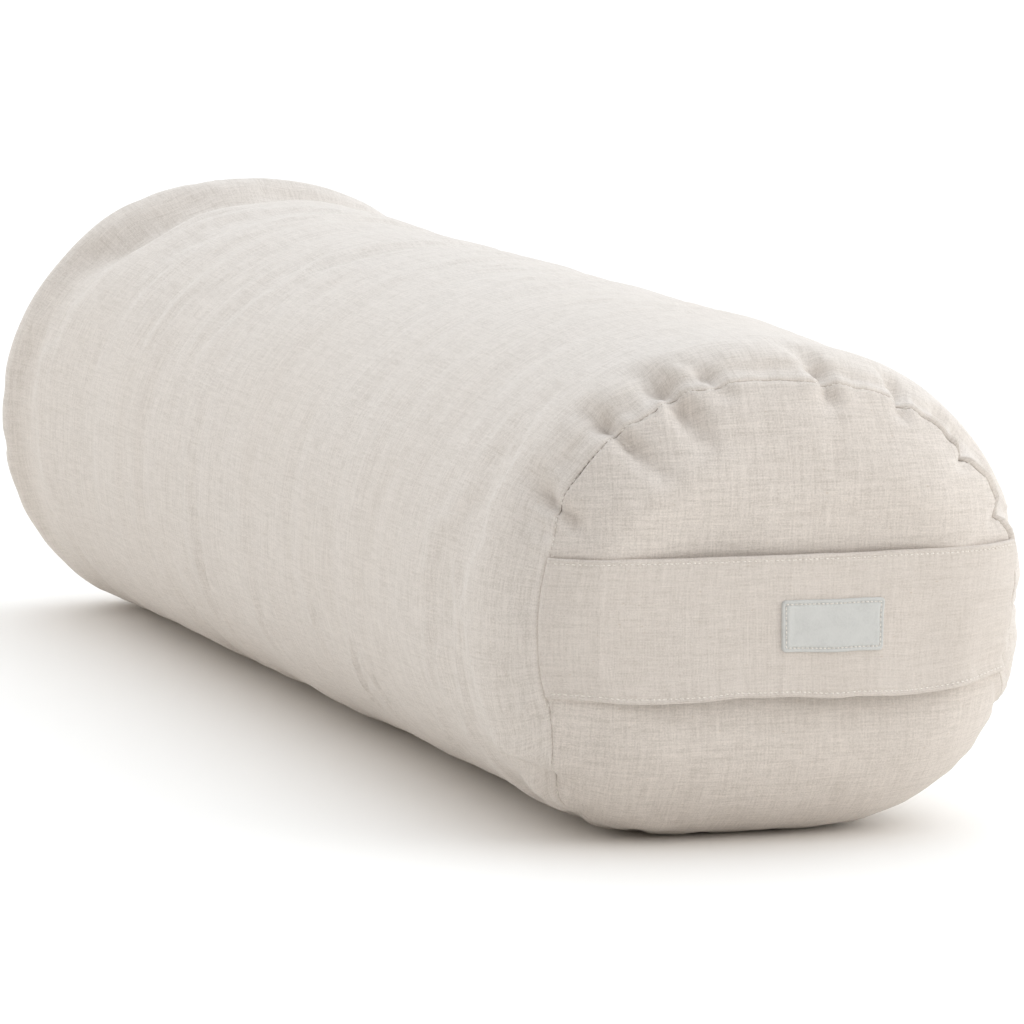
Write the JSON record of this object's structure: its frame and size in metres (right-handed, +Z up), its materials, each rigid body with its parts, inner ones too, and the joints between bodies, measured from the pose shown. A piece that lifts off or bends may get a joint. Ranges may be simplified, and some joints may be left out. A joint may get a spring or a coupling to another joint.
{
  "type": "bolster pillow",
  "caption": "Stuffed linen bolster with a rounded rectangular section, set-in end panels, a flat carry handle across one end with a blank stitched label, and a zipped cover over a sewn liner.",
  "frame": {"origin": "on the surface that the bolster lies on, under the middle of its flat underside", "axes": "+Z up with the bolster lying on its long flat side, +Y along the bolster from the carry-handle end to the plain end, +X towards the side with the zip"},
  "size_m": [0.2342, 0.66, 0.195],
  "materials": {
    "linen_body": "matte",
    "linen_end": "matte",
    "linen_handle": "matte",
    "calico": "matte",
    "fibre_fill": "matte",
    "interlining": "matte",
    "thread": "matte",
    "label_suede": "matte",
    "zip_tape": "matte",
    "zip_coil": "satin",
    "zip_metal": "satin"
  },
  "bodies": {
    "cushion": {"filling": "fibre_fill", "liner_tube": "calico", "liner_front_end": "calico", "liner_rear_end": "calico", "cover_tube": "linen_body", "cover_front_end": "linen_end", "cover_rear_end": "linen_end", "front_seam_thread": "thread", "rear_seam_thread": "thread", "side_seam_thread": "thread", "zip_tape_upper": "zip_tape", "zip_tape_lower": "zip_tape", "zip_coil_upper": "zip_coil", "zip_coil_lower": "zip_coil", "zip_topstitch_upper": "thread", "zip_topstitch_lower": "thread", "zip_top_stops": "zip_metal", "zip_bottom_stop": "zip_metal"},
    "handle": {"carry_handle": "linen_handle", "handle_interlining": "interlining", "handle_topstitch_upper": "thread", "handle_topstitch_lower": "thread", "label_patch": "label_suede", "label_stitching": "thread"},
    "zip_slider_body": {"zip_slider": "zip_metal"},
    "zip_pull_body": {"zip_pull": "zip_metal"}
  },
  "joints": [
    {"name": "handle_lift", "type": "slide", "parent": "cushion", "child": "handle", "axis": [0, -1, 0], "range_m": [0, 0.02]},
    {"name": "zip_travel", "type": "slide", "parent": "cushion", "child": "zip_slider_body", "axis": [0, 1, 0], "range_m": [0, 0.46]},
    {"name": "pull_swing", "type": "hinge", "parent": "zip_slider_body", "child": "zip_pull_body", "pos_m": [0.1183, -0.23, 0.088], "axis": [0, 0, -1], "range_deg": [0, 170]}
  ]
}
